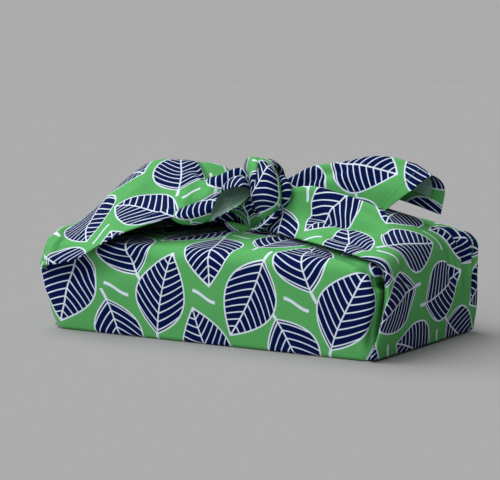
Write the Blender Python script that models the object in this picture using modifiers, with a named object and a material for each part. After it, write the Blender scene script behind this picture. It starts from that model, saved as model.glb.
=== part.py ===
# Furoshiki wrap: one square of cotton folded round a hollow box-shaped body, gathered up at both
# ends and tied on top in a square knot. Metres, +Z up, X along the long side, origin at the middle
# of the flat bottom.
import bpy
import bmesh
import numpy as np
from collections import namedtuple
from mathutils import Vector

# Driving dimensions
BODY_LENGTH = 0.250
BODY_DEPTH = 0.148
BODY_HEIGHT = 0.062
CLOTH_THICKNESS = 0.0016
CORNER_RADIUS = 0.008
BOTTOM_RADIUS = 0.003
TOP_CROWN = 0.007          # the folded top rises this much towards the knot
SIDE_BULGE = 0.0012        # front and back stand out this much at mid height
END_LEAN = 0.0075          # the left end leans out this much above mid height
SLIT_WIDTH = 0.006         # the hollow opens here, under the front corner of the cloth
SLIT_LENGTH = 0.200
SLIT_PLACE = 0.020
FLAP_GAP = 0.0045          # between the front corner's layer and the back layer under it

# A fold's cross-section: four guide points from its near edge, over the ridge, to its far edge
Section = namedtuple("Section", "near shoulder ridge far")
# A rolled strand's cross-section: its centre, half its width and half its thickness
Ring = namedtuple("Ring", "centre half_width half_thickness")

LEFT_FLAP = (
    Section((-0.1190, -0.0690, 0.0010), (-0.1200, -0.0350, 0.0010), (-0.1200, 0.0000, 0.0010), (-0.1200, 0.0690, 0.0010)),
    Section((-0.1305, -0.0715, 0.0180), (-0.1320, -0.0400, 0.0200), (-0.1320, 0.0000, 0.0200), (-0.1300, 0.0710, 0.0180)),
    Section((-0.1370, -0.0735, 0.0390), (-0.1385, -0.0480, 0.0440), (-0.1375, 0.0000, 0.0480), (-0.1345, 0.0730, 0.0420)),
    Section((-0.1330, -0.0775, 0.0445), (-0.1325, -0.0690, 0.0640), (-0.1330, 0.0000, 0.0790), (-0.1300, 0.0740, 0.0600)),
    Section((-0.1150, -0.0785, 0.0490), (-0.1180, -0.0660, 0.0690), (-0.1230, 0.0000, 0.0960), (-0.1150, 0.0670, 0.0700)),
    Section((-0.0950, -0.0720, 0.0590), (-0.1000, -0.0500, 0.0800), (-0.1055, 0.0000, 0.1107), (-0.0960, 0.0600, 0.0770)),
    Section((-0.0740, -0.0600, 0.0705), (-0.0780, -0.0360, 0.0930), (-0.0840, 0.0000, 0.1172), (-0.0750, 0.0500, 0.0840)),
    Section((-0.0500, -0.0450, 0.0790), (-0.0500, -0.0270, 0.0970), (-0.0540, 0.0020, 0.1176), (-0.0480, 0.0380, 0.0900)),
    Section((-0.0220, -0.0280, 0.0810), (-0.0240, -0.0180, 0.0960), (-0.0280, 0.0050, 0.1110), (-0.0220, 0.0240, 0.0950)),
    Section((0.0000, -0.0120, 0.0880), (0.0000, -0.0090, 0.0960), (0.0000, 0.0030, 0.1030), (0.0000, 0.0120, 0.0960)),
)

RIGHT_FLAP = (
    Section((0.1180, -0.0680, 0.0010), (0.1190, -0.0350, 0.0010), (0.1190, 0.0000, 0.0010), (0.1180, 0.0670, 0.0010)),
    Section((0.1275, -0.0735, 0.0180), (0.1300, -0.0400, 0.0200), (0.1300, 0.0000, 0.0200), (0.1265, 0.0705, 0.0180)),
    Section((0.1339, -0.0750, 0.0440), (0.1320, -0.0400, 0.0450), (0.1310, 0.0000, 0.0460), (0.1270, 0.0715, 0.0440)),
    Section((0.1300, -0.0745, 0.0610), (0.1270, -0.0420, 0.0690), (0.1240, 0.0000, 0.0720), (0.1235, 0.0705, 0.0665)),
    Section((0.1134, -0.0700, 0.0655), (0.1080, -0.0400, 0.0740), (0.1050, 0.0000, 0.0810), (0.1110, 0.0680, 0.0705)),
    Section((0.0936, -0.0600, 0.0671), (0.0900, -0.0340, 0.0760), (0.0872, 0.0000, 0.0880), (0.0950, 0.0520, 0.0785)),
    Section((0.0598, -0.0400, 0.0686), (0.0580, -0.0230, 0.0810), (0.0566, 0.0000, 0.0961), (0.0640, 0.0340, 0.0860)),
    Section((0.0286, -0.0220, 0.0698), (0.0290, -0.0130, 0.0840), (0.0315, 0.0000, 0.0998), (0.0320, 0.0200, 0.0920)),
    Section((0.0100, -0.0100, 0.0790), (0.0100, -0.0080, 0.0880), (0.0100, 0.0000, 0.0990), (0.0100, 0.0110, 0.0930)),
)

RIGHT_TAIL = (
    Section((0.0080, 0.0040, 0.0960), (0.0080, 0.0050, 0.1000), (0.0080, 0.0080, 0.1030), (0.0080, 0.0140, 0.0990)),
    Section((0.0250, 0.0070, 0.0985), (0.0250, 0.0090, 0.1060), (0.0250, 0.0150, 0.1122), (0.0250, 0.0270, 0.1000)),
    Section((0.0480, 0.0090, 0.0960), (0.0480, 0.0100, 0.1070), (0.0483, 0.0200, 0.1172), (0.0480, 0.0360, 0.0990)),
    Section((0.0700, 0.0090, 0.0905), (0.0740, 0.0090, 0.1060), (0.0762, 0.0200, 0.1228), (0.0700, 0.0370, 0.0960)),
    Section((0.0860, 0.0080, 0.0873), (0.0960, 0.0080, 0.1050), (0.1009, 0.0220, 0.1199), (0.0930, 0.0360, 0.0905)),
    Section((0.0900, 0.0070, 0.0875), (0.1080, 0.0060, 0.1010), (0.1180, 0.0170, 0.1105), (0.1173, 0.0350, 0.0848)),
)

LEFT_TAIL = (
    Section((0.0060, -0.0080, 0.0930), (0.0060, -0.0070, 0.0950), (0.0060, -0.0070, 0.0970), (0.0060, -0.0080, 0.0985)),
    Section((-0.0010, -0.0290, 0.0910), (-0.0020, -0.0235, 0.0930), (-0.0030, -0.0215, 0.0980), (-0.0035, -0.0230, 0.1020)),
    Section((-0.0090, -0.0380, 0.0845), (-0.0100, -0.0320, 0.0865), (-0.0120, -0.0280, 0.0925), (-0.0130, -0.0300, 0.0995)),
    Section((-0.0182, -0.0460, 0.0776), (-0.0200, -0.0400, 0.0800), (-0.0200, -0.0360, 0.0860), (-0.0200, -0.0370, 0.0930)),
    Section((-0.0290, -0.0510, 0.0768), (-0.0300, -0.0470, 0.0790), (-0.0300, -0.0450, 0.0820), (-0.0300, -0.0450, 0.0860)),
    Section((-0.0400, -0.0540, 0.0790), (-0.0405, -0.0530, 0.0795), (-0.0410, -0.0525, 0.0800), (-0.0415, -0.0520, 0.0808)),
)

# The corner of the cloth turned back over the left tail, from the fold below to its free edge
TAIL_CORNER = (
    Section((-0.0165, -0.0450, 0.0782), (-0.0165, -0.0485, 0.0830), (-0.0150, -0.0460, 0.0910), (-0.0085, -0.0410, 0.0975)),
    Section((-0.0230, -0.0485, 0.0770), (-0.0235, -0.0525, 0.0800), (-0.0230, -0.0500, 0.0850), (-0.0195, -0.0445, 0.0905)),
    Section((-0.0310, -0.0520, 0.0770), (-0.0315, -0.0545, 0.0790), (-0.0310, -0.0530, 0.0820), (-0.0295, -0.0490, 0.0850)),
    Section((-0.0395, -0.0540, 0.0790), (-0.0400, -0.0550, 0.0795), (-0.0402, -0.0545, 0.0803), (-0.0400, -0.0530, 0.0812)),
)

# Rolled strands of the knot; each path is the roll's centre line
STRAP = (
    Ring((0.0110, -0.0090, 0.0700), 0.0030, 0.0030),
    Ring((0.0130, -0.0150, 0.0790), 0.0080, 0.0050),
    Ring((0.0145, -0.0190, 0.0900), 0.0115, 0.0060),
    Ring((0.0120, -0.0185, 0.1010), 0.0130, 0.0060),
    Ring((0.0030, -0.0110, 0.1110), 0.0120, 0.0055),
    Ring((-0.0060, -0.0010, 0.1150), 0.0110, 0.0055),
    Ring((-0.0090, 0.0085, 0.1070), 0.0110, 0.0055),
    Ring((-0.0040, 0.0080, 0.0960), 0.0080, 0.0050),
)

LOWER_BIGHT = (
    Ring((-0.0160, -0.0060, 0.0960), 0.0060, 0.0060),
    Ring((-0.0110, -0.0140, 0.0860), 0.0110, 0.0070),
    Ring((-0.0030, -0.0160, 0.0780), 0.0110, 0.0075),
    Ring((0.0080, -0.0120, 0.0760), 0.0080, 0.0070),
    Ring((0.0160, -0.0070, 0.0800), 0.0040, 0.0050),
)

RIGHT_BIGHT = (
    Ring((0.0080, -0.0010, 0.1040), 0.0040, 0.0060),
    Ring((0.0155, -0.0020, 0.1005), 0.0050, 0.0065),
    Ring((0.0180, -0.0035, 0.0950), 0.0050, 0.0065),
    Ring((0.0140, -0.0040, 0.0890), 0.0040, 0.0060),
)

NEAR_ROLL = (
    Ring((-0.0450, -0.0160, 0.0990), 0.0020, 0.0020),
    Ring((-0.0320, -0.0160, 0.1020), 0.0045, 0.0045),
    Ring((-0.0220, -0.0135, 0.1065), 0.0050, 0.0048),
    Ring((-0.0130, -0.0110, 0.1070), 0.0050, 0.0045),
    Ring((-0.0010, -0.0060, 0.1000), 0.0045, 0.0045),
)

KNOT_CENTRE = (0.0040, -0.0020, 0.0940)
KNOT_RADII = (0.0170, 0.0165, 0.0185)

CLOTH_GREEN = (0.16, 0.55, 0.17, 1.0)
CLOTH_ROUGHNESS = 0.85


def clear_scene():
    for item in list(bpy.data.objects):
        bpy.data.objects.remove(item, do_unlink=True)


def new_collection(name):
    group = bpy.data.collections.new(name)
    bpy.context.scene.collection.children.link(group)
    return group


def cloth_material():
    material = bpy.data.materials.new("printed_cotton")
    material.use_nodes = True
    shader = material.node_tree.nodes["Principled BSDF"]
    shader.inputs["Base Color"].default_value = CLOTH_GREEN
    shader.inputs["Roughness"].default_value = CLOTH_ROUGHNESS
    shader.inputs["Metallic"].default_value = 0.0
    return material


# A smooth curve through the points (Catmull-Rom), read at even steps of its knots
def smooth_through(points, knots, count):
    points = np.asarray(points, float)
    knots = np.asarray(knots, float)
    places = np.linspace(knots[0], knots[-1], count)
    index = np.clip(np.searchsorted(knots, places, side="right") - 1, 0, len(knots) - 2)
    slopes = np.gradient(points, knots, axis=0)
    shape = (-1,) + (1,) * (points.ndim - 1)
    step = (knots[index + 1] - knots[index]).reshape(shape)
    t = ((places - knots[index]).reshape(shape)) / step
    start, end = points[index], points[index + 1]
    blend = 3 * t**2 - 2 * t**3
    leaving = (t**3 - 2 * t**2 + t) * step * slopes[index]
    arriving = (t**3 - t**2) * step * slopes[index + 1]
    return start * (1 - blend) + end * blend + leaving + arriving


# Even steps along a row of points: the running length of the line between them
def running_length(points):
    steps = np.linalg.norm(np.diff(points, axis=0), axis=1)
    return np.concatenate(([0.0], np.cumsum(steps)))


# A grid of points over a folded sheet, from its sections
def fold_grid(sections, along, across):
    guides = np.array([list(section) for section in sections])
    ridge_length = running_length(guides[:, 2])
    rows = smooth_through(guides, ridge_length, along)
    section_length = running_length(guides.mean(axis=0))
    return smooth_through(rows.transpose(1, 0, 2), section_length, across).transpose(1, 0, 2)


# A mesh of quads over a grid of points; closed_rows joins each row's end to its start
def grid_mesh(name, grid, closed_rows=False):
    along, across = grid.shape[:2]
    index = np.arange(along * across).reshape(along, across)
    if closed_rows:
        index = np.column_stack((index, index[:, 0]))
    corners = (index[:-1, :-1], index[1:, :-1], index[1:, 1:], index[:-1, 1:])
    faces = np.stack([corner.ravel() for corner in corners], axis=1)
    mesh = bpy.data.meshes.new(name)
    mesh.from_pydata(grid.reshape(-1, 3).tolist(), [], faces.tolist())
    mesh.shade_smooth()
    return mesh


def add_object(name, mesh, group):
    item = bpy.data.objects.new(name, mesh)
    group.objects.link(item)
    return item


# A cutter or an operand of a union, left out of the build
def as_helper(item):
    item.hide_render = True
    item.display_type = "WIRE"
    return item


# A sheet of cloth: the grid is its printed side, and the thickness lies behind it
def cloth_sheet(name, grid, group, side=-1.0):
    item = as_helper(add_object(name, grid_mesh(name, grid), group))
    solidify = item.modifiers.new("thickness", "SOLIDIFY")
    solidify.thickness = CLOTH_THICKNESS
    solidify.offset = side
    return item


# A rolled strand: rings of an ellipse square to the path, wide along X, closed by a face at each end
def rolled_strand(name, rings, group, along, around=12):
    table = np.array([(*ring.centre, ring.half_width, ring.half_thickness) for ring in rings])
    table = smooth_through(table, running_length(table[:, :3]), along)
    centre = table[:, :3]
    heading = np.gradient(centre, axis=0)
    heading /= np.linalg.norm(heading, axis=1, keepdims=True)
    wide = np.array((0.0, 1.0, 0.0)) if abs(heading[:, 0]).mean() > 0.6 else np.array((1.0, 0.0, 0.0))
    across = wide - heading * (heading @ wide)[:, None]
    across /= np.linalg.norm(across, axis=1, keepdims=True)
    outward = np.cross(heading, across)
    angle = np.linspace(0, 2 * np.pi, around, endpoint=False)
    grid = (centre[:, None]
            + across[:, None] * (table[:, 3, None] * np.cos(angle))[:, :, None]
            + outward[:, None] * (table[:, 4, None] * np.sin(angle))[:, :, None])
    mesh = grid_mesh(name, grid, closed_rows=True)
    shape = bmesh.new()
    shape.from_mesh(mesh)
    bmesh.ops.holes_fill(shape, edges=shape.edges)
    bmesh.ops.recalc_face_normals(shape, faces=shape.faces)
    shape.to_mesh(mesh)
    shape.free()
    return as_helper(add_object(name, mesh, group))


def knot_core(group):
    shape = bmesh.new()
    bmesh.ops.create_uvsphere(shape, u_segments=16, v_segments=10, radius=1.0)
    bmesh.ops.scale(shape, vec=KNOT_RADII, verts=shape.verts)
    bmesh.ops.translate(shape, vec=KNOT_CENTRE, verts=shape.verts)
    mesh = bpy.data.meshes.new("knot_core")
    shape.to_mesh(mesh)
    shape.free()
    return as_helper(add_object("knot_core", mesh, group))


# How far the crown lifts the top at a place: full at the middle, nothing at the four sides
def crown_at(x, y):
    lengthwise = 1 - np.clip(x / (BODY_LENGTH / 2), -1, 1) ** 2
    depthwise = 1 - np.clip(y / (BODY_DEPTH / 2), -1, 1) ** 2
    return TOP_CROWN * lengthwise * depthwise


# The wrapped body: a block with rounded edges, its top crowned, its sides full, its left end leaning
def wrapped_body(group):
    shape = bmesh.new()
    bmesh.ops.create_cube(shape, size=1.0)
    bmesh.ops.scale(shape, vec=(BODY_LENGTH, BODY_DEPTH, BODY_HEIGHT), verts=shape.verts)
    bmesh.ops.translate(shape, vec=(0, 0, BODY_HEIGHT / 2), verts=shape.verts)
    upper = [edge for edge in shape.edges if max(v.co.z for v in edge.verts) > BODY_HEIGHT / 2]
    bmesh.ops.bevel(shape, geom=upper, offset=CORNER_RADIUS, segments=3, profile=0.5, affect="EDGES")
    lower = [edge for edge in shape.edges if max(v.co.z for v in edge.verts) < 1e-5]
    bmesh.ops.bevel(shape, geom=lower, offset=BOTTOM_RADIUS, segments=2, profile=0.5, affect="EDGES")
    cuts = [(Vector((place, 0, 0)), Vector((1, 0, 0))) for place in np.linspace(-0.1, 0.1, 7)]
    cuts += [(Vector((0, place, 0)), Vector((0, 1, 0))) for place in np.linspace(-0.05, 0.05, 4)]
    cuts += [(Vector((0, 0, place)), Vector((0, 0, 1))) for place in (0.015, 0.030, 0.045)]
    for place, normal in cuts:
        everything = shape.verts[:] + shape.edges[:] + shape.faces[:]
        bmesh.ops.bisect_plane(shape, geom=everything, dist=1e-6, plane_co=place, plane_no=normal)
    for vertex in shape.verts:
        x, y, z = vertex.co
        height = z / BODY_HEIGHT
        fullness = np.sin(np.pi * min(height, 1.0))
        lean = END_LEAN * np.sin(0.5 * np.pi * min(height / 0.7, 1.0)) * (1 - 0.5 * max(height - 0.7, 0) / 0.3)
        leftness = np.clip((-x - 0.04) / (BODY_LENGTH / 2 - 0.04), 0, 1) ** 2
        vertex.co.x = x - lean * leftness
        vertex.co.y = y + np.sign(y) * SIDE_BULGE * fullness * (abs(y) > 0.05)
        vertex.co.z = z + crown_at(x, y) * (height > 0.98)
    bmesh.ops.recalc_face_normals(shape, faces=shape.faces)
    mesh = bpy.data.meshes.new("cloth")
    shape.to_mesh(mesh)
    shape.free()
    mesh.shade_smooth()
    body = add_object("cloth", mesh, group)
    solidify = body.modifiers.new("thickness", "SOLIDIFY")
    solidify.thickness = CLOTH_THICKNESS
    solidify.offset = -1.0
    return body


# The slot in the top, under the front corner's layer, through which the hollow opens
def slit_cutter(group):
    shape = bmesh.new()
    bmesh.ops.create_cube(shape, size=1.0)
    bmesh.ops.scale(shape, vec=(SLIT_LENGTH, SLIT_WIDTH, 0.02), verts=shape.verts)
    bmesh.ops.translate(shape, vec=(0, SLIT_PLACE, BODY_HEIGHT), verts=shape.verts)
    mesh = bpy.data.meshes.new("slit_cutter")
    shape.to_mesh(mesh)
    shape.free()
    return as_helper(add_object("slit_cutter", mesh, group))


# The front corner of the cloth, folded back over the top: it leaves the top ahead of the slit,
# clears the back layer and ends in a free edge
def front_corner_grid():
    reach = np.linspace(-0.020, 0.050, 8)
    half_width = np.array((0.100, 0.100, 0.098, 0.094, 0.086, 0.074, 0.058, 0.038))
    lift = np.array((-0.0010, 0.0005, 0.0022, 0.0040, 0.0045, 0.0045, 0.0045, 0.0045))
    share = np.linspace(-1, 1, 13)
    x = half_width[:, None] * share
    y = np.repeat(reach[:, None], len(share), axis=1)
    z = BODY_HEIGHT + crown_at(x, y) + (lift / 0.0045 * (FLAP_GAP + CLOTH_THICKNESS))[:, None]
    return np.stack((x, y, z), axis=2)


def join_all(body, folds):
    union = body.modifiers.new("folds", "BOOLEAN")
    union.operation = "UNION"
    union.operand_type = "COLLECTION"
    union.collection = folds
    union.solver = "EXACT"


def cut_slit(body, cutter):
    cut = body.modifiers.new("slit", "BOOLEAN")
    cut.operation = "DIFFERENCE"
    cut.object = cutter
    cut.solver = "EXACT"


def main():
    clear_scene()
    wrap = new_collection("furoshiki_wrap")
    folds = new_collection("folds")
    cutters = new_collection("cutters")
    body = wrapped_body(wrap)
    body.data.materials.append(cloth_material())
    cut_slit(body, slit_cutter(cutters))
    cloth_sheet("front_corner", front_corner_grid(), folds, side=1.0)
    cloth_sheet("left_flap", fold_grid(LEFT_FLAP, 30, 17), folds)
    cloth_sheet("right_flap", fold_grid(RIGHT_FLAP, 28, 17), folds, side=1.0)
    cloth_sheet("right_tail", fold_grid(RIGHT_TAIL, 16, 13), folds)
    cloth_sheet("left_tail", fold_grid(LEFT_TAIL, 14, 10), folds)
    cloth_sheet("tail_corner", fold_grid(TAIL_CORNER, 9, 8), folds, side=1.0)
    rolled_strand("strap", STRAP, folds, 18)
    rolled_strand("lower_bight", LOWER_BIGHT, folds, 12)
    rolled_strand("right_bight", RIGHT_BIGHT, folds, 9)
    rolled_strand("near_roll", NEAR_ROLL, folds, 11, around=8)
    knot_core(folds)
    join_all(body, folds)


main()
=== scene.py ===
# Furoshiki wrap, dressed: printed cotton folded round a box-shaped body and tied on top in a square knot.
# Shapes are grids of points worked out with numpy, in metres, +Z up; guide points are in millimetres.
import math
import bmesh
import bpy
import numpy as np
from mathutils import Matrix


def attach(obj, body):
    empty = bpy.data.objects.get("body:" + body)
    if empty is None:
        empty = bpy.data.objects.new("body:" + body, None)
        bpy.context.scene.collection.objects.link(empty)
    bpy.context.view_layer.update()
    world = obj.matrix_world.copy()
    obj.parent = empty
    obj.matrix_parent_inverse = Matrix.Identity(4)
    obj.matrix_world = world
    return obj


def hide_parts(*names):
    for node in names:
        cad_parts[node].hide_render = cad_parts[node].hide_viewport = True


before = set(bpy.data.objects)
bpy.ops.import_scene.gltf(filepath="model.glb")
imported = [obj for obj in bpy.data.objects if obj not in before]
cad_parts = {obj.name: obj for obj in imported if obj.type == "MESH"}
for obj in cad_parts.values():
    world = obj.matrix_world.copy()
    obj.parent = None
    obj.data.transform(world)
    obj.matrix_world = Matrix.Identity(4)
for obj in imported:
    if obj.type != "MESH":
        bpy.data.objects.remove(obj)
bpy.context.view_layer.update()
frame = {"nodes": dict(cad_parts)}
print("frame loaded:", ", ".join(frame["nodes"]))

mm = 0.001

cloth = {
    "thickness": 0.8 * mm,
    "hemWidth": 10 * mm,
    "stitchInset": 1.2 * mm,      # the stitch line stands this far inside the hem's inner edge
    "stitchPitch": 2.6 * mm,
    "threadPitch": 0.6 * mm,
    "ridgePalenessFoldShadeHeight": 0.35 * mm,      # a point this far over its neighbours counts as a full ridge, for the paler ridges and the painted shade in folds
    "creaseFade": (-0.02, 0.2),   # a crease fades in over these shares of its run, and out alike
    "weldDistance": 0.001 * mm,
}


# Smooth curve through the points, read at the given places: between two knots it is the cubic that
# starts and ends at the two points with the slopes of the chords around them
def smoothThrough(points, knots, places):
    points = np.asarray(points, float)
    knots = np.asarray(knots, float)
    index = np.clip(np.searchsorted(knots, places, side="right") - 1, 0, len(knots) - 2)
    slopes = np.gradient(points, knots, axis=0)
    shape = (-1,) + (1,) * (points.ndim - 1)
    step = (knots[index + 1] - knots[index]).reshape(shape)
    t = (places - knots[index]).reshape(shape) / step
    blend = 3 * t**2 - 2 * t**3
    leaving = (t**3 - 2 * t**2 + t) * step * slopes[index]
    arriving = (t**3 - t**2) * step * slopes[index + 1]
    return points[index] * (1 - blend) + points[index + 1] * blend + leaving + arriving


# Distance walked along a row of points, from its first
def runningLength(points):
    steps = np.linalg.norm(np.diff(points, axis=0), axis=-1)
    return np.concatenate((np.zeros_like(steps[:1]), np.cumsum(steps, axis=0)))


# 0 below low, 1 above high, and an S-shaped rise between them: 3 t^2 - 2 t^3
def softStep(value, low, high):
    t = np.clip((value - low) / (high - low), 0, 1)
    return t * t * (3 - 2 * t)


# Where a section's guide points stand across the sheet, as shares of its width, by their number
sectionShares = {
    4: (0, 0.30, 0.62, 1),
    5: (0, 0.10, 0.36, 0.64, 1),
    9: (0, 0.12, 0.24, 0.34, 0.42, 0.52, 0.62, 0.72, 1),
}


# Sheet through its sections: each section is a smooth curve from the near edge to the far edge, and
# smooth lines run from section to section at even steps of the middle line's length
def sectionGrid(sections, rows, columns, shares=None):
    across = np.linspace(0, 1, columns)
    curves = []
    for section in sections:
        points = np.array(section, float) * mm
        places = shares or sectionShares.get(len(section)) or np.linspace(0, 1, len(section))
        curves.append(smoothThrough(points, places, across))
    curves = np.array(curves)
    knots = runningLength(curves[:, columns // 2])
    return smoothThrough(curves, knots, np.linspace(0, knots[-1], rows))


# Roll along its rings (centre, half width, half thickness): an ellipse square to the path, its first
# point repeated at the end so that the grid closes
def rollGrid(rings, rows, around, wide):
    table = np.array([(*ring[0], ring[1], ring[2]) for ring in rings]) * mm
    knots = runningLength(table[:, :3])
    table = smoothThrough(table, knots, np.linspace(0, knots[-1], rows))
    heading = np.gradient(table[:, :3], axis=0)
    heading /= np.linalg.norm(heading, axis=1, keepdims=True)
    across = np.array(wide) - heading * (heading @ np.array(wide))[:, None]
    across /= np.linalg.norm(across, axis=1, keepdims=True)
    outward = np.cross(heading, across)
    angle = np.linspace(0, 2 * np.pi, around)[None, :, None]
    return (table[:, None, :3] + across[:, None] * table[:, 3, None, None] * np.cos(angle)
            + outward[:, None] * table[:, 4, None, None] * np.sin(angle))


# Unit normals: the cross product of the grid's two directions
def gridNormals(grid):
    normals = np.cross(np.gradient(grid, axis=0), np.gradient(grid, axis=1))
    return normals / np.maximum(np.linalg.norm(normals, axis=2, keepdims=True), 1e-12)


# The grid laid flat: from the running lengths both ways, springs along rows, columns and diagonals
# pull the flat copy to the lengths that the grid has in space. Each point also drifts by a tenth of the
# sum of the ways to its two neighbours, which keeps the flat copy from folding over itself
def flattenGrid(grid, rounds=260, strength=0.11, drift=0.1):
    middle = grid.shape[1] // 2
    down = runningLength(grid)
    down = (down + down[:, [middle]]) / 2
    across = runningLength(grid.transpose(1, 0, 2)).T
    flat = np.stack((down, across - across[:, [middle]]), axis=2)
    here, there = slice(None, -1), slice(1, None)
    every = slice(None)
    pairs = (((here, every), (there, every)), ((every, here), (every, there)),
             ((here, here), (there, there)), ((here, there), (there, here)))
    lengths = [np.linalg.norm(grid[b] - grid[a], axis=2, keepdims=True) for a, b in pairs]
    for _ in range(rounds):
        pull = np.zeros_like(flat)
        for (a, b), length in zip(pairs, lengths):
            gap = flat[b] - flat[a]
            shift = gap * (1 - length / np.maximum(np.linalg.norm(gap, axis=2, keepdims=True), 1e-9))
            pull[a] += shift
            pull[b] -= shift
        flat = flat + strength * pull
        flat[1:-1] += drift * (flat[2:] + flat[:-2] - 2 * flat[1:-1])
        flat[:, 1:-1] += drift * (flat[:, 2:] + flat[:, :-2] - 2 * flat[:, 1:-1])
    return flat


# Height of the listed creases: each is a line of (along, across) shares on the flat cloth, and adds
# depth * exp(-(distance / width)^2), fading in and out over the first and last part of its run
def creaseHeights(flat, creases):
    rows, columns = flat.shape[:2]
    height = np.zeros((rows, columns))
    for path, width, depth in creases:
        corners = [flat[int(round(a * (rows - 1))), int(round(b * (columns - 1)))] for a, b in path]
        nearest = np.full((rows, columns), 1e9)
        place = np.zeros((rows, columns))
        for number, (start, end) in enumerate(zip(corners[:-1], corners[1:])):
            run = end - start
            share = np.clip(((flat - start) @ run) / (run @ run), 0, 1)
            distance = np.linalg.norm(flat - start - share[..., None] * run, axis=2)
            place = np.where(distance < nearest, (number + share) / (len(corners) - 1), place)
            nearest = np.minimum(nearest, distance)
        fade = softStep(place, *cloth["creaseFade"]) * softStep(1 - place, *cloth["creaseFade"])
        height += depth * mm * np.exp(-(nearest / (width * mm)) ** 2) * fade
    return height


# Distance from the nearest hemmed side and the run along it, both on the flat cloth
def hemDistances(flat, hems):
    rows, columns = flat.shape[:2]
    away = np.full((rows, columns), 1.0)      # a metre: no hem is near
    run = np.zeros((rows, columns))
    across = runningLength(flat.transpose(1, 0, 2)).T
    along = runningLength(flat)
    sides = {
        "near": (across, along[:, [0]] + 0 * across),
        "far": (across[:, [-1]] - across, along[:, [-1]] + 0 * across),
        "end": (along[[-1]] - along, across[[-1]] + 0 * along),
    }
    for side in hems:
        distance, length = sides[side]
        run = np.where(distance < away, length, run)
        away = np.minimum(away, distance)
    return np.stack((away, run), axis=2)


palette = {
    "green": (0.103, 0.405, 0.122),
    "navy": (0.0015, 0.0075, 0.066),
    "white": (0.700, 0.800, 0.920),
    "reverse": (0.300, 0.460, 0.390),
    "stitch": (0.060, 0.230, 0.075),
}

leafPrint = {
    "cell": 70 * mm,
    "halfLength": 29 * mm,
    "halfWidth": 20 * mm,
    "tilts": (20, -20),           # how the two sets of leaves lean, in degrees
    "bend": 3.0,                  # how fast the midrib curves, per metre
    "taper": 0.2,                 # the share of its width that a leaf loses from its middle to its tip
    "steepness": 1.9,             # how much the outline's slope grows towards the ends
    "wander": (1.9, 2.7),         # steps in the leaves' wander for each column and row
    "wanderTurn": 0.15,           # the most that it turns a leaf, in radians
    "outline": 1.1 * mm,
    "veinPitch": 5.8 * mm,
    "veinHalf": 0.52 * mm,
    "veinRise": 0.6,
    "veinCurve": 14.0,
    "stemLength": 7 * mm,
    "stemBend": 9.0,
    "strokeHalf": 1.1 * mm,
    "strokeLength": 9 * mm,
    "strokeRun": 6 * mm,
    "strokeWave": 3.5 * mm,
    "softness": 0.2 * mm,
}


# Adds a Math node for an operation on numbers or sockets and gives its result
def sums(tree, operation, *values):
    node = tree.nodes.new("ShaderNodeMath")
    node.operation = operation
    for socket, value in zip(node.inputs, values):
        if isinstance(value, (int, float)):
            socket.default_value = value
        else:
            tree.links.new(value, socket)
    return node.outputs[0]


# 1 where the value is over the limit, with a soft edge
def over(tree, value, limit, soft):
    node = tree.nodes.new("ShaderNodeMapRange")
    node.interpolation_type = "SMOOTHSTEP"
    tree.links.new(value, node.inputs["Value"])
    node.inputs["From Min"].default_value = limit - soft
    node.inputs["From Max"].default_value = limit + soft
    return node.outputs[0]


# Mixes two colours, each a socket or a fixed colour, by a factor socket
def mixed(tree, factor, first, second, blend="MIX"):
    node = tree.nodes.new("ShaderNodeMix")
    node.data_type = "RGBA"
    node.blend_type = blend
    if isinstance(factor, (int, float)):
        node.inputs[0].default_value = factor
    else:
        tree.links.new(factor, node.inputs[0])
    for socket, value in ((node.inputs[6], first), (node.inputs[7], second)):
        if isinstance(value, tuple):
            socket.default_value = (*value, 1)
        else:
            tree.links.new(value, socket)
    return node.outputs[2]


# The cell of a square lattice that a coordinate falls in, and the coordinate from the cell's middle
def cellPlace(tree, value):
    share = sums(tree, "DIVIDE", value, leafPrint["cell"])
    number = sums(tree, "FLOOR", share)
    rest = sums(tree, "SUBTRACT", sums(tree, "SUBTRACT", share, number), 0.5)
    return number, sums(tree, "MULTIPLY", rest, leafPrint["cell"])


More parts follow.
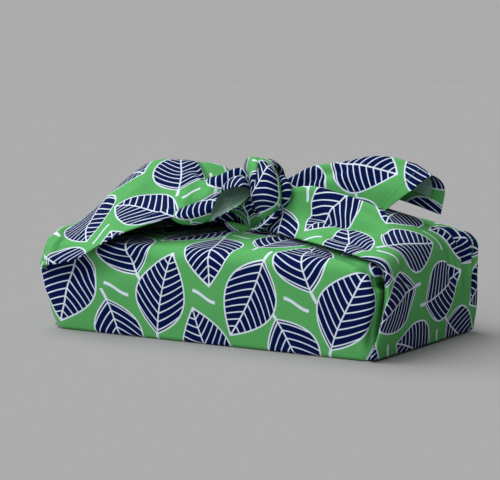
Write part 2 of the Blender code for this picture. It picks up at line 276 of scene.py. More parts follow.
# One set of leaves on a square lattice. In each cell the place is turned about the cell's middle, half a
# turn more in every other cell, and the leaf is where |x| < halfWidth (1 - s^2)(1 - taper s), with
# s = y / halfLength; veins are lines of even y - rise |x| - curve x^2. Gives (leaf, white lines, stem)
def leafRows(tree, x, y, tilt):
    p = leafPrint
    soft = p["softness"]
    column, cellX = cellPlace(tree, x)
    row, cellY = cellPlace(tree, y)
    parity = sums(tree, "FLOORED_MODULO", sums(tree, "ADD", column, row), 2.0)
    steps = sums(tree, "MULTIPLY_ADD", column, p["wander"][0], sums(tree, "MULTIPLY", row, p["wander"][1]))
    lean = sums(tree, "MULTIPLY_ADD", sums(tree, "SINE", steps), p["wanderTurn"], math.radians(tilt))
    turn = sums(tree, "MULTIPLY_ADD", parity, math.pi, lean)
    cosine, sine = sums(tree, "COSINE", turn), sums(tree, "SINE", turn)
    leafX = sums(tree, "ADD", sums(tree, "MULTIPLY", cellX, cosine), sums(tree, "MULTIPLY", cellY, sine))
    leafY = sums(tree, "SUBTRACT", sums(tree, "MULTIPLY", cellY, cosine),
                 sums(tree, "MULTIPLY", cellX, sine))
    squared = sums(tree, "MULTIPLY", leafY, leafY)
    leafX = sums(tree, "MULTIPLY_ADD", squared, p["bend"], leafX)
    side = sums(tree, "ABSOLUTE", leafX)
    s = sums(tree, "DIVIDE", leafY, p["halfLength"])
    sSquared = sums(tree, "MULTIPLY", s, s)
    oval = sums(tree, "MULTIPLY", sums(tree, "SUBTRACT", 1.0, sSquared), p["halfWidth"])
    half = sums(tree, "MULTIPLY", oval, sums(tree, "SUBTRACT", 1.0, sums(tree, "MULTIPLY", s, p["taper"])))
    steep = sums(tree, "SQRT", sums(tree, "MULTIPLY_ADD", sSquared, p["steepness"], 1.0))
    edge = sums(tree, "DIVIDE", sums(tree, "SUBTRACT", half, side), steep)
    inside = over(tree, edge, 0.0, soft)
    rim = sums(tree, "SUBTRACT", 1.0, over(tree, edge, p["outline"], soft))
    rise = sums(tree, "ADD", sums(tree, "MULTIPLY", side, p["veinRise"]),
                sums(tree, "MULTIPLY", sums(tree, "MULTIPLY", side, side), p["veinCurve"]))
    wave = sums(tree, "FRACT", sums(tree, "DIVIDE", sums(tree, "SUBTRACT", leafY, rise), p["veinPitch"]))
    away = sums(tree, "MULTIPLY", sums(tree, "ABSOLUTE", sums(tree, "SUBTRACT", wave, 0.5)), p["veinPitch"])
    vein = sums(tree, "SUBTRACT", 1.0, over(tree, away, p["veinHalf"], soft))
    midrib = sums(tree, "SUBTRACT", 1.0, over(tree, side, p["veinHalf"], soft))
    lines = sums(tree, "MAXIMUM", sums(tree, "MAXIMUM", rim, vein), midrib)
    below = sums(tree, "ADD", leafY, p["halfLength"])
    stemX = sums(tree, "MULTIPLY_ADD", sums(tree, "MULTIPLY", below, below), p["stemBend"], leafX)
    stem = sums(tree, "SUBTRACT", 1.0, over(tree, sums(tree, "ABSOLUTE", stemX), p["strokeHalf"], soft))
    stem = sums(tree, "MULTIPLY", stem, over(tree, leafY, -p["halfLength"] - p["stemLength"], soft))
    stem = sums(tree, "MULTIPLY", stem, sums(tree, "SUBTRACT", 1.0, over(tree, leafY, 0.0, soft)))
    return inside, sums(tree, "MULTIPLY", inside, lines), stem


# Curved strokes between the leaves, one in each cell: |y - wave sin(x / run)| is small and |x| is short
def strokeRows(tree, x, y):
    p = leafPrint
    cellX = cellPlace(tree, x)[1]
    cellY = cellPlace(tree, y)[1]
    swing = sums(tree, "SINE", sums(tree, "DIVIDE", cellX, p["strokeRun"]))
    gap = sums(tree, "SUBTRACT", cellY, sums(tree, "MULTIPLY", swing, p["strokeWave"]))
    near = over(tree, sums(tree, "ABSOLUTE", gap), p["strokeHalf"], p["softness"])
    past = over(tree, sums(tree, "ABSOLUTE", cellX), p["strokeLength"], p["softness"])
    return sums(tree, "MULTIPLY", sums(tree, "SUBTRACT", 1.0, near), sums(tree, "SUBTRACT", 1.0, past))


# The print as a node group: a place on the cloth in metres goes in and its colour comes out
def printGroup():
    tree = bpy.data.node_groups.new("leafPrint", "ShaderNodeTree")
    tree.interface.new_socket("Place", in_out="INPUT", socket_type="NodeSocketVector")
    tree.interface.new_socket("Color", in_out="OUTPUT", socket_type="NodeSocketColor")
    source = tree.nodes.new("NodeGroupInput")
    result = tree.nodes.new("NodeGroupOutput")
    split = tree.nodes.new("ShaderNodeSeparateXYZ")
    tree.links.new(source.outputs["Place"], split.inputs[0])
    x, y = split.outputs[0], split.outputs[1]
    half = leafPrint["cell"] / 2
    farX, farY = sums(tree, "ADD", x, half), sums(tree, "ADD", y, half)
    first = leafRows(tree, x, y, leafPrint["tilts"][0])
    second = leafRows(tree, farX, farY, leafPrint["tilts"][1])
    strokes = sums(tree, "MAXIMUM", strokeRows(tree, farX, y), sums(tree, "MAXIMUM", first[2], second[2]))
    colour = mixed(tree, strokes, palette["green"], palette["white"])
    for inside, lines, _ in (first, second):
        colour = mixed(tree, inside, colour, palette["navy"])
        colour = mixed(tree, lines, colour, palette["white"])
    tree.links.new(colour, result.inputs["Color"])
    return tree


cotton = {
    "paleness": 0.84,             # how much of the back is its own colour and not the print
    "mottleScale": 700,
    "mottleDetail": 4,
    "mottleShade": (0.34, 0.83),  # brightness is the first times the noise, plus the second
    "mottleRough": (0.10, 0.78),  # and so is the roughness
    "ridgePalenessFoldShadeAmount": 0.10,            # how much paler ridges are, and how much darker the painted shade makes folds
    "edgeShade": 0.07,
    "edgeWidth": 0.8 * mm,
    "softness": 0.5 * mm,
    "stitchHalf": 0.35 * mm,
    "stitchShare": 0.72,          # how much of each stitch's pitch is thread
    "stitchCover": 0.75,
    "weaveHeight": 0.05 * mm,
    "hemHeight": 0.35 * mm,
    "stitchDepth": 0.25 * mm,
    "bump": 0.6,
    "specular": 0.02,
    "sheen": 0.02,
    "sheenRoughness": 0.5,
}


# Cotton: the print or the reverse side, paler on ridges and with painted shade deeper in folds by the
# curvature attribute, mottled by noise, with a stitch line inside each hem and a plain weave as bump
def cottonMaterial(name, group, reverse):
    material = bpy.data.materials.new(name)
    material.use_nodes = True
    tree = material.node_tree
    shader = tree.nodes["Principled BSDF"]
    place = tree.nodes.new("ShaderNodeUVMap")
    place.uv_map = "print"
    hem = tree.nodes.new("ShaderNodeUVMap")
    hem.uv_map = "hem"
    hemSplit = tree.nodes.new("ShaderNodeSeparateXYZ")
    tree.links.new(hem.outputs[0], hemSplit.inputs[0])
    away, run = hemSplit.outputs[0], hemSplit.outputs[1]
    pattern = tree.nodes.new("ShaderNodeGroup")
    pattern.node_tree = group
    tree.links.new(place.outputs[0], pattern.inputs["Place"])
    colour = pattern.outputs["Color"]
    inHem = sums(tree, "LESS_THAN", away, cloth["hemWidth"])
    if reverse:
        ghost = mixed(tree, cotton["paleness"], colour, palette["reverse"])
        colour = mixed(tree, inHem, ghost, colour)
    mottle = tree.nodes.new("ShaderNodeTexNoise")
    mottle.inputs["Scale"].default_value = cotton["mottleScale"]
    mottle.inputs["Detail"].default_value = cotton["mottleDetail"]
    tree.links.new(place.outputs[0], mottle.inputs["Vector"])
    # Painted shade: the curvature attribute darkens folds, and makes ridges paler
    ridgePalenessFoldShade = tree.nodes.new("ShaderNodeAttribute")
    ridgePalenessFoldShade.attribute_name = "ridgePalenessFoldShade"
    shade = sums(tree, "MULTIPLY_ADD", mottle.outputs[0], *cotton["mottleShade"])
    shade = sums(tree, "MULTIPLY_ADD", ridgePalenessFoldShade.outputs["Fac"], cotton["ridgePalenessFoldShadeAmount"], shade)
    edge = sums(tree, "SUBTRACT", 1.0, over(tree, away, cotton["edgeWidth"], cotton["softness"]))
    shade = sums(tree, "MULTIPLY_ADD", edge, cotton["edgeShade"], shade)
    grey = tree.nodes.new("ShaderNodeCombineColor")
    for socket in grey.inputs:
        tree.links.new(shade, socket)
    colour = mixed(tree, 1.0, colour, grey.outputs[0], "MULTIPLY")
    line = cloth["hemWidth"] - cloth["stitchInset"]
    fromLine = sums(tree, "ABSOLUTE", sums(tree, "SUBTRACT", away, line))
    onLine = sums(tree, "LESS_THAN", fromLine, cotton["stitchHalf"])
    pitch = sums(tree, "FRACT", sums(tree, "DIVIDE", run, cloth["stitchPitch"]))
    stitch = sums(tree, "MULTIPLY", onLine, sums(tree, "LESS_THAN", pitch, cotton["stitchShare"]))
    colour = mixed(tree, sums(tree, "MULTIPLY", stitch, cotton["stitchCover"]), colour, palette["stitch"])
    tree.links.new(colour, shader.inputs["Base Color"])
    rough = sums(tree, "MULTIPLY_ADD", mottle.outputs[0], *cotton["mottleRough"])
    tree.links.new(rough, shader.inputs["Roughness"])
    shader.inputs["Specular IOR Level"].default_value = cotton["specular"]
    shader.inputs["Sheen Weight"].default_value = cotton["sheen"]
    shader.inputs["Sheen Roughness"].default_value = cotton["sheenRoughness"]
    split = tree.nodes.new("ShaderNodeSeparateXYZ")
    tree.links.new(place.outputs[0], split.inputs[0])
    threads = 2 * math.pi / cloth["threadPitch"]
    weft = sums(tree, "SINE", sums(tree, "MULTIPLY", split.outputs[0], threads))
    warp = sums(tree, "SINE", sums(tree, "MULTIPLY", split.outputs[1], threads))
    weave = sums(tree, "MULTIPLY", sums(tree, "MULTIPLY", weft, warp), cotton["weaveHeight"])
    hemmed = sums(tree, "SUBTRACT", 1.0, over(tree, away, cloth["hemWidth"], cotton["softness"]))
    thick = sums(tree, "MULTIPLY", hemmed, cotton["hemHeight"])
    sunk = sums(tree, "MULTIPLY", onLine, cotton["stitchDepth"])
    height = sums(tree, "SUBTRACT", sums(tree, "ADD", weave, thick), sunk)
    bump = tree.nodes.new("ShaderNodeBump")
    bump.inputs["Strength"].default_value = cotton["bump"]
    bump.inputs["Distance"].default_value = 1.0
    tree.links.new(height, bump.inputs["Height"])
    tree.links.new(bump.outputs[0], shader.inputs["Normal"])
    return material


leaves = printGroup()
printSide = cottonMaterial("printedCotton", leaves, reverse=False)
reverseSide = cottonMaterial("printedCottonReverse", leaves, reverse=True)
print("materials made")


# Mesh over a grid of points with its two maps and the curvature attribute for paler ridges and painted
# shade in folds; rows and columns that close on themselves are welded
def gridMesh(name, grid, printMap, hemMap, ridgePalenessFoldShade):
    rows, columns = grid.shape[:2]
    index = np.arange(rows * columns).reshape(rows, columns)
    corners = (index[:-1, :-1], index[1:, :-1], index[1:, 1:], index[:-1, 1:])
    faces = np.stack([corner.ravel() for corner in corners], axis=1)
    mesh = bpy.data.meshes.new(name)
    mesh.from_pydata(grid.reshape(-1, 3).tolist(), [], faces.tolist())
    for label, values in (("print", printMap), ("hem", hemMap)):
        layer = mesh.uv_layers.new(name=label)
        layer.data.foreach_set("uv", values.reshape(-1, 2)[faces.ravel()].astype(np.float32).ravel())
    # Curvature attribute that drives the painted shade in folds and the paler ridges
    attribute = mesh.attributes.new("ridgePalenessFoldShade", "FLOAT", "POINT")
    attribute.data.foreach_set("value", ridgePalenessFoldShade.astype(np.float32).ravel())
    shape = bmesh.new()
    shape.from_mesh(mesh)
    bmesh.ops.remove_doubles(shape, verts=shape.verts, dist=cloth["weldDistance"])
    shape.to_mesh(mesh)
    shape.free()
    mesh.shade_smooth()
    return mesh


# Sets the painted shade in folds and the paler ridges of the cotton
# Curvature as a share from -1 in a crease to 1 on a ridge: the height of a point over its neighbours' mean
def ridgePalenessFoldShadeShare(grid, normals):
    mean = grid.copy()
    mean[2:-2, 2:-2] = (grid[:-4, 2:-2] + grid[4:, 2:-2] + grid[2:-2, :-4] + grid[2:-2, 4:]) / 4
    return np.clip(((grid - mean) * normals).sum(axis=2) / cloth["ridgePalenessFoldShadeHeight"], -1, 1)


# The flat cloth turned and moved so that a leaf lies where the piece wants it: its point (x, y) in
# millimetres from the leaf's middle comes to the shares (along, across) of the grid, and its tip points
# that many degrees from the way the rows run
def placedPrint(flat, leaf):
    along, across, x, y, degrees = leaf
    rows, columns = flat.shape[:2]
    here = flat[int(round(along * (rows - 1))), int(round(across * (columns - 1)))]
    tilt = math.radians(leafPrint["tilts"][0])
    turn = tilt + math.radians(90 - degrees)
    spin = np.array(((math.cos(turn), math.sin(turn)), (-math.sin(turn), math.cos(turn))))
    wide, long = np.array((math.cos(tilt), math.sin(tilt))), np.array((-math.sin(tilt), math.cos(tilt)))
    return (flat - here) @ spin + leafPrint["cell"] / 2 + (x * wide + y * long) * mm


# A piece of the cloth from its grid: turned to face the way its dictionary says, if it says one, then
# creased, mapped and thickened behind its printed side
def clothPiece(name, grid, spec, flat=None):
    facing = np.array(spec.get("facing", (0, 0, 0)))
    if gridNormals(grid).mean(axis=(0, 1)) @ facing < 0:
        grid = grid[:, ::-1]
        swapped = {"near": "far", "far": "near"}
        spec = {**spec, "hems": [swapped.get(side, side) for side in spec.get("hems", ())],
                "creases": [([(a, 1 - b) for a, b in path], width, depth)
                            for path, width, depth in spec.get("creases", ())]}
        if "leaf" in spec:
            spec["leaf"] = (spec["leaf"][0], 1 - spec["leaf"][1], *spec["leaf"][2:])
        flat = None if flat is None else flat[:, ::-1]
    flat = flattenGrid(grid) if flat is None else flat
    grid = grid + gridNormals(grid) * creaseHeights(flat, spec.get("creases", ()))[..., None]
    printMap = placedPrint(flat, spec["leaf"]) if "leaf" in spec else flat
    hemMap = hemDistances(flat, spec.get("hems", ()))
    mesh = gridMesh(name, grid, printMap, hemMap, ridgePalenessFoldShadeShare(grid, gridNormals(grid)))
    mesh.materials.append(printSide)
    mesh.materials.append(reverseSide)
    piece = bpy.data.objects.new(name, mesh)
    bpy.context.scene.collection.objects.link(piece)
    solidify = piece.modifiers.new("thickness", "SOLIDIFY")
    solidify.thickness = cloth["thickness"]
    solidify.offset = -1
    solidify.material_offset = 1
    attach(piece, "root")
    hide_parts("cloth")
    cells = np.cross(grid[1:, :-1] - grid[:-1, :-1], grid[:-1, 1:] - grid[:-1, :-1])
    print(name, "made, area", round(float(np.linalg.norm(cells, axis=2).sum()), 4))


# A piece of the cloth from the sections in its dictionary
def sectionPiece(name, spec):
    clothPiece(name, sectionGrid(spec["sections"], spec["rows"], spec["columns"], spec.get("shares")), spec)


body = {
    "length": 250 * mm, "depth": 148 * mm, "height": 62 * mm,
    "endRadius": 9 * mm, "topRadius": 7.5 * mm, "bottomRadius": 3 * mm,
    "crown": 7 * mm,
    "sideBulge": 1.6 * mm,
    "leftEnd": ((0, -127.5), (4, -131), (10, -134), (20, -137), (28, -141), (40, -146), (53, -142),
                (67, -130)),      # height, X
    "rightEnd": ((0, 122.5), (10, 124.4), (20, 126.5), (31, 129.2), (42, 129.8), (50, 129), (67, 122)),
    "endShare": 0.3,              # how much of the ends' lean is left away from the front corners
    "leanFade": (-70 * mm, -30 * mm),   # the stretch along Y where it falls to that
    "leanStart": 40 * mm,         # how far from the middle an end starts to lean
    "bottomInset": 0.3,           # how much of the ends' rounding the bottom gets
    "crownStart": 0.8,            # the crown's lift comes in from this share of the height
    "seamY": 12 * mm,             # where the two halves of the flat map meet on top
    "rippleHeights": (0.5 * mm, 0.35 * mm),
    "ripplePaces": ((61, 48), (103, 60)),   # of the two ripples along X and Z, in radians per metre
    "rippleStarts": (0.8, 0.3),
    "lengthSteps": 60, "capSteps": 8,
    "loopSteps": {"bottom": 20, "bottomCorner": 6, "side": 26, "topCorner": 12, "top": 52},
    "creases": ((((0.66, 0.42), (0.752, 0.385), (0.806, 0.368), (0.861, 0.345), (0.90, 0.305),
                  (0.925, 0.27)), 3, -1.8),
                (((0.88, 0.325), (0.912, 0.302), (0.926, 0.277), (0.929, 0.26)), 5, -4.5),
                (((0.925, 0.31), (0.930, 0.27), (0.931, 0.23), (0.929, 0.19), (0.92, 0.15)), 2.8, -5),
                (((0.58, 0.37), (0.70, 0.30), (0.84, 0.23)), 10, 1),
                (((0.06, 0.215), (0.11, 0.240), (0.18, 0.263), (0.28, 0.283), (0.38, 0.295)), 8, -4)),
    "flatSize": (0.40, 0.42),
}


# Closed section in the YZ plane with its outward directions: bottom, front, top and back as straight
# runs, joined by quarter circles; it starts and ends at the middle of the bottom
def roundedLoop(halfDepth, height, topRadius, bottomRadius, steps):
    def run(start, end, outward, count):
        share = np.linspace(0, 1, count, endpoint=False)[:, None]
        return np.array(start) + (np.array(end) - np.array(start)) * share, np.tile(outward, (count, 1))

    def quarter(centre, radius, start, end, count):
        angle = np.radians(np.linspace(start, end, count, endpoint=False))
        outward = np.stack((np.cos(angle), np.sin(angle)), axis=1)
        return np.array(centre) + radius * outward, outward

    low, high = halfDepth - bottomRadius, halfDepth - topRadius
    parts = (
        run((0, 0), (-low, 0), (0.0, -1.0), steps["bottom"]),
        quarter((-low, bottomRadius), bottomRadius, -90, -180, steps["bottomCorner"]),
        run((-halfDepth, bottomRadius), (-halfDepth, height - topRadius), (-1.0, 0.0), steps["side"]),
        quarter((-high, height - topRadius), topRadius, 180, 90, steps["topCorner"]),
        run((-high, height), (high, height), (0.0, 1.0), steps["top"]),
        quarter((high, height - topRadius), topRadius, 90, 0, steps["topCorner"]),
        run((halfDepth, height - topRadius), (halfDepth, bottomRadius), (1.0, 0.0), steps["side"]),
        quarter((low, bottomRadius), bottomRadius, 0, -90, steps["bottomCorner"]),
        run((low, 0), (0, 0), (0.0, -1.0), steps["bottom"]),
    )
    points = np.concatenate([part[0] for part in parts] + [[(0.0, 0.0)]])
    outward = np.concatenate([part[1] for part in parts] + [[(0.0, -1.0)]])
    return points, outward


# How far the crown lifts the top: crown (1 - x^2)(1 - y^2), with x and y as shares of the half sides
def crownAt(x, y):
    lengthwise = 1 - np.clip(2 * x / body["length"], -1, 1) ** 2
    depthwise = 1 - np.clip(2 * y / body["depth"], -1, 1) ** 2
    return body["crown"] * lengthwise * depthwise


# Slack in the sides: two ripples, one of sin(x) sin(z) and one of sin(x + z), each at its own pace
def rippleAt(x, z):
    (firstHeight, secondHeight), (startX, startZ) = body["rippleHeights"], body["rippleStarts"]
    (firstX, firstZ), (secondX, secondZ) = body["ripplePaces"]
    first = firstHeight * np.sin(x * firstX + startX) * np.sin(z * firstZ + startZ)
    return first + secondHeight * np.sin(x * secondX + z * secondZ)


# Body: the loop is carried along X, drawn in by a quarter circle at each end and closed to a point; then
# the ends lean by the two tables of height and X, the sides fill out and the top is crowned
def bodyGrid():
    halfLength, radius = body["length"] / 2, body["endRadius"]
    loop, outward = roundedLoop(body["depth"] / 2, body["height"], body["topRadius"], body["bottomRadius"],
                                body["loopSteps"])
    lengthSteps, capSteps = body["lengthSteps"], body["capSteps"]
    angle = np.linspace(0, np.pi / 2, capSteps + 1)
    capShare = np.linspace(1, 0, capSteps + 1)[1:]
    half = {
        "x": np.concatenate((np.linspace(0, halfLength - radius, lengthSteps, endpoint=False),
                             halfLength - radius + radius * np.sin(angle), np.full(capSteps, halfLength))),
        "inset": np.concatenate((np.zeros(lengthSteps), radius * (1 - np.cos(angle)),
                                 np.full(capSteps, radius))),
        "scale": np.concatenate((np.ones(lengthSteps + capSteps + 1), capShare)),
    }
    x = np.concatenate((-half["x"][::-1], half["x"][1:]))[:, None]
    inset = np.concatenate((half["inset"][::-1], half["inset"][1:]))[:, None]
    scale = np.concatenate((half["scale"][::-1], half["scale"][1:]))[:, None]
    drawn = np.where(outward[:, 1] < 0, body["bottomInset"], 1.0)
    y = loop[:, 0] - inset * outward[:, 0]
    z = loop[:, 1] - inset * outward[:, 1] * drawn
    middle = body["height"] / 2
    y, z = y * scale, middle + (z - middle) * scale
    x = x + 0 * y
    grid = np.stack((x, y, z), axis=2)
    flatX = np.concatenate((-runningLength(half["x"][:, None])[::-1], runningLength(half["x"][1:, None])
                            + half["x"][1]))
    down = runningLength(loop)
    fromFront = -down
    fromBack = down[-1] - down
    lengthwise = flatX[:, None] + 0 * y
    pastSeam = loop[:, 0] * (outward[:, 1] > 0) + (outward[:, 0] > 0) > body["seamY"]
    crosswise = np.where(pastSeam, fromBack, fromFront)
    crosswise = np.where((np.arange(len(loop)) > len(loop) // 2) & (outward[:, 1] < 0), fromBack, crosswise)
    flat = np.stack((lengthwise, crosswise + 0 * y), axis=2)
    nearFront = body["endShare"] + (1 - body["endShare"]) * (1 - softStep(y, *body["leanFade"]))
    for table, sign in ((body["leftEnd"], -1), (body["rightEnd"], 1)):
        heights, places = np.array(table, float).T * mm
        shift = smoothThrough(places[:, None], heights, np.clip(z, 0, heights[-1]).ravel()).reshape(z.shape)
        reach = halfLength - body["leanStart"]
        weight = np.clip((sign * x - body["leanStart"]) / reach, 0, 1) ** 2
        grid[..., 0] += (shift - sign * halfLength) * weight * nearFront
    full = np.sin(np.pi * np.clip(z / body["height"], 0, 1))
    grid[..., 1] += outward[:, 0] * (body["sideBulge"] + rippleAt(x, z)) * full
    topness = softStep(z, body["crownStart"] * body["height"], body["height"])
    grid[..., 2] += crownAt(x, y) * topness
    return grid, flat


bodyPoints, bodyFlat = bodyGrid()
clothPiece("wrappedBody", bodyPoints, body, bodyFlat)


frontLayer = {
    "halfWidth": (100, 100, 98, 94, 86, 74, 58, 38),
    "reach": (-20, 50),
    "lift": (-1.0, 0.5, 2.2, 3.8, 4.4, 4.6, 4.6, 4.4),
    "waveHeight": 0.6 * mm, "wavePace": 90, "waveStart": 1.0,
    "leftRise": 0.1,              # how much of its lift the left side has
    "riseFrom": (-30 * mm, 15 * mm),   # the stretch along X where it rises to all of it
    "printShift": 8 * mm,
    "rows": 44, "columns": 90,
    "facing": (0, 0, 1),
    "hems": ["end"],
    "flatSize": (0.18, 0.072),
    "restsOn": ["wrappedBody"],
}


# Layer: rows run back from the body's top, each as wide as the table says, at the crown's height plus
# the lift, with a little wave along the free edge
def frontLayerGrid():
    spec = frontLayer
    places = np.linspace(0, 1, spec["rows"])
    knots = np.linspace(0, 1, len(spec["halfWidth"]))
    width = smoothThrough(np.array(spec["halfWidth"], float)[:, None] * mm, knots, places)
    lift = smoothThrough(np.array(spec["lift"], float)[:, None] * mm, knots, places)
    share = np.linspace(-1, 1, spec["columns"])
    x = width * share
    y = (spec["reach"][0] + (spec["reach"][1] - spec["reach"][0]) * places[:, None]) * mm + 0 * x
    wave = spec["waveHeight"] * np.sin(x * spec["wavePace"] + spec["waveStart"]) * places[:, None] ** 2
    rise = spec["leftRise"] + (1 - spec["leftRise"]) * softStep(x, *spec["riseFrom"])
    return np.stack((x, y, body["height"] + crownAt(x, y) + (lift + wave) * rise), axis=2)


layerPoints = frontLayerGrid()
fromBottom = body["depth"] + body["height"]
layerDown = -(layerPoints[..., 1] + fromBottom - frontLayer["printShift"])
layerFlat = np.stack((layerPoints[..., 0], layerDown), axis=2)
clothPiece("frontLayer", layerPoints, frontLayer, layerFlat)


leftFlap = {
    "sections": (
        ((-124, -55, 1.5), (-127, -33, 1.5), (-127, 0, 1.5), (-126, 72, 1.5)),
        ((-128.5, -57, 18), (-132, -36, 20), (-132, 0, 20), (-130.5, 73, 18)),
        ((-131, -60, 34), (-137.5, -42, 40), (-137.5, 0, 46), (-134.5, 73, 42)),
        ((-133.5, -80.5, 44.5), (-136.3, -68, 64), (-132, 0, 71), (-131, 74, 60)),
        ((-116.5, -83.5, 48), (-126, -62, 65.5), (-126, 0, 88), (-119, 71, 60)),
        ((-98.5, -84, 53.2), (-106, -55, 73), (-109.5, 0, 107), (-100, 68, 61.5)),
        ((-78.5, -80.5, 64.6), (-85, -44, 89), (-89.5, 0, 116.5), (-80, 62, 62.5)),
        ((-59, -69, 74.8), (-60.5, -53, 83.2), (-61, -38, 92), (-62, -27, 99), (-65, -18, 105),
         (-67.5, -10, 110), (-71, 0, 116.2), (-72, 12, 115.5), (-60, 56, 63.5)),
        ((-39, -57.5, 81.5), (-43, -46.5, 87.2), (-46.5, -34, 94), (-51, -22, 100.8), (-54.7, -12, 106.5),
         (-58.5, -4, 110.2), (-64.5, 6, 116), (-67, 16, 113.5), (-50, 51, 65)),
        ((-31, -44, 77.6), (-35.5, -37.5, 86), (-37.3, -30, 92.8), (-39.3, -21, 98.4), (-40.6, -14, 103.5),
         (-46, -5, 101.5), (-58.6, 10, 114.8), (-63, 18, 111), (-40, 49, 65.3)),
        ((-28, -15, 76), (-29, -24, 86), (-28.4, -26, 93), (-29.4, -22, 101), (-32.4, -15, 106.7),
         (-38.5, -3, 98.5), (-54.8, 16, 114), (-59, 24, 109), (-30, 47, 65.7)),
        ((-22, -8, 76), (-21, -15, 88), (-19.5, -19, 95), (-21, -18, 102.6), (-24.7, -14, 109.7),
         (-31.4, -1, 97.5), (-49.5, 21, 112.5), (-52, 29, 107), (-22, 44, 66.2)),
        ((-16, -4, 78), (-15, -11, 89), (-13, -15, 97), (-13, -15, 105), (-15.4, -13, 113.4),
         (-22.8, 0, 99), (-44.6, 24, 109), (-43, 31, 103), (-12, 39, 67)),
        ((-8, -7, 76), (-8, -10, 92), (-8, -11, 98.8), (-8, -11, 105), (-10, -10, 112),
         (-14, 1, 101), (-30, 22, 103), (-24, 25, 98), (-4, 30, 69)),
        ((-4.6, -4, 82), (-4.6, -6, 93), (-4.6, -8, 98.5), (-4.6, -8, 102.6), (-7, -7, 107),
         (-9, 2, 101), (-16, 10, 101), (-12, 15, 97), (0, 20, 75)),
    ),
    "rows": 150, "columns": 96,
    "facing": (-0.4, -0.3, 0.8),
    "hems": ["far"],
    "leaf": (0.90, 0.40, 9, 0, -38),
    "creases": ((((0.68, 0.05), (0.77, 0.10), (0.83, 0.16)), 2.5, 1.2),
                (((0.77, 0.62), (0.81, 0.55), (0.85, 0.42), (0.88, 0.28)), 3, 1.3),
                (((0.80, 0.66), (0.85, 0.56), (0.89, 0.44)), 3.5, -2),
                (((0.48, 0.58), (0.62, 0.42), (0.72, 0.20)), 9, -1.2),
                (((0.42, 0.26), (0.54, 0.32), (0.66, 0.46)), 7, 1),
                (((0.345, 0.0), (0.365, 0.13), (0.375, 0.25), (0.345, 0.36), (0.32, 0.44)), 3, 1.8),
                (((0.30, 0.02), (0.325, 0.16), (0.325, 0.28)), 4, -1.6)),
    "flatSize": (0.24, 0.15),
    "restsOn": ["wrappedBody"],
}
sectionPiece("leftFlap", leftFlap)

rightFlap = {
    "sections": (
        ((120, -68, 1.5), (124.5, -75, 1.5), (126.8, -40, 1.5), (126.8, 0, 1.5), (126, 72, 1.5)),
        ((124, -65, 18), (129.5, -75, 18), (130.5, -40, 20), (130.5, 0, 20), (128, 73, 18)),
        ((126.5, -62, 42), (134.5, -73.5, 42), (132, -40, 45), (131, 0, 46), (127.5, 74, 46)),
        ((123, -61, 57), (131.5, -75.5, 60), (128, -42, 66.5), (125.5, 0, 70), (126.5, 74.5, 63.5)),
        ((111, -58, 62.5), (114, -71.5, 65), (109, -40, 74), (106, 0, 80), (116, 69, 70.5)),
        ((91, -48, 66), (94, -62, 67), (90, -34, 76), (87, 0, 88), (100, 55, 77.5)),
        ((59, -27, 68), (60.5, -42, 68.7), (58, -23, 81), (56.5, 0, 96), (64, 34, 86)),
        ((28, -11, 69), (28.5, -23, 69.7), (29, -13, 84), (31.5, 0, 99.8), (32, 20, 92)),
        ((5, -5, 69), (5, -10, 72), (6, -8, 86), (6, 0, 98), (6, 11, 93)),
    ),
    "rows": 150, "columns": 120,
    "facing": (0.4, -0.3, 0.8),
    "hems": ["far"],
    "creases": ((((0.95, 0.58), (0.79, 0.62), (0.70, 0.61), (0.58, 0.61), (0.46, 0.60)), 4, 4),
                (((0.92, 0.45), (0.74, 0.42), (0.64, 0.43), (0.55, 0.46), (0.42, 0.49)), 6, -5.5),
                (((0.72, 0.26), (0.58, 0.27), (0.52, 0.26), (0.42, 0.23)), 4, -2),
                (((0.46, 0.72), (0.38, 0.735), (0.30, 0.77), (0.16, 0.79)), 3.5, -2.6),
                (((0.45, 0.78), (0.37, 0.80), (0.29, 0.83), (0.14, 0.85)), 3, 2.4),
                (((0.46, 0.83), (0.38, 0.855), (0.30, 0.875), (0.14, 0.89)), 2.8, -2.8),
                (((0.47, 0.875), (0.38, 0.895), (0.30, 0.915), (0.14, 0.93)), 2.6, 2.6),
                (((0.47, 0.915), (0.38, 0.93), (0.30, 0.945), (0.12, 0.96)), 2.4, -2.8),
                (((0.45, 0.955), (0.38, 0.965), (0.30, 0.975), (0.16, 0.98)), 2.2, 2.2),
                (((0.34, 0.30), (0.20, 0.36), (0.06, 0.48)), 7, -1.0)),
    "flatSize": (0.22, 0.15),
    "restsOn": ["wrappedBody"],
}
sectionPiece("rightFlap", rightFlap)
print("flaps laid")


rightTail = {
    "sections": (
        ((8, 4, 96), (8, 5, 100), (8, 8, 103), (8, 11, 101.5), (8, 14, 99)),
        ((25, 7, 98.5), (25, 9, 106), (25, 15, 112), (25, 21, 107), (25, 27, 100)),
        ((48, 9, 96), (48, 10, 107), (48.5, 20, 117), (48, 28, 109.5), (48, 36, 99)),
        ((70, 9, 90.5), (74, 9, 106), (76, 20, 122.8), (73.5, 28.5, 112), (70, 37, 96)),
        ((86, 8, 87.5), (96, 8, 105), (102, 21, 120), (101, 29.5, 109.5), (95, 36, 90.5)),
        ((90, 7, 87.5), (109, 6, 101), (121.5, 16, 111), (124.5, 27, 102), (117.5, 36, 84)),
    ),
    "shares": (0, 0.30, 0.62, 0.82, 1),
    "rows": 90, "columns": 64,
    "facing": (0, -0.5, 0.8),
    "hems": ["far", "end"],
    "creases": ((((0.14, 0.06), (0.24, 0.25), (0.32, 0.40), (0.52, 0.48)), 4, -2.2),
                (((0.12, 0.40), (0.28, 0.62), (0.50, 0.70)), 4, 1.2),
                (((0.60, 0.20), (0.75, 0.45), (0.88, 0.62)), 8, -1.2)),
    "leaf": (0.56, 0.46, 0, 0, -14),
    "flatSize": (0.11, 0.065),
    "restsOn": ["rightFlap"],
}
sectionPiece("rightTail", rightTail)

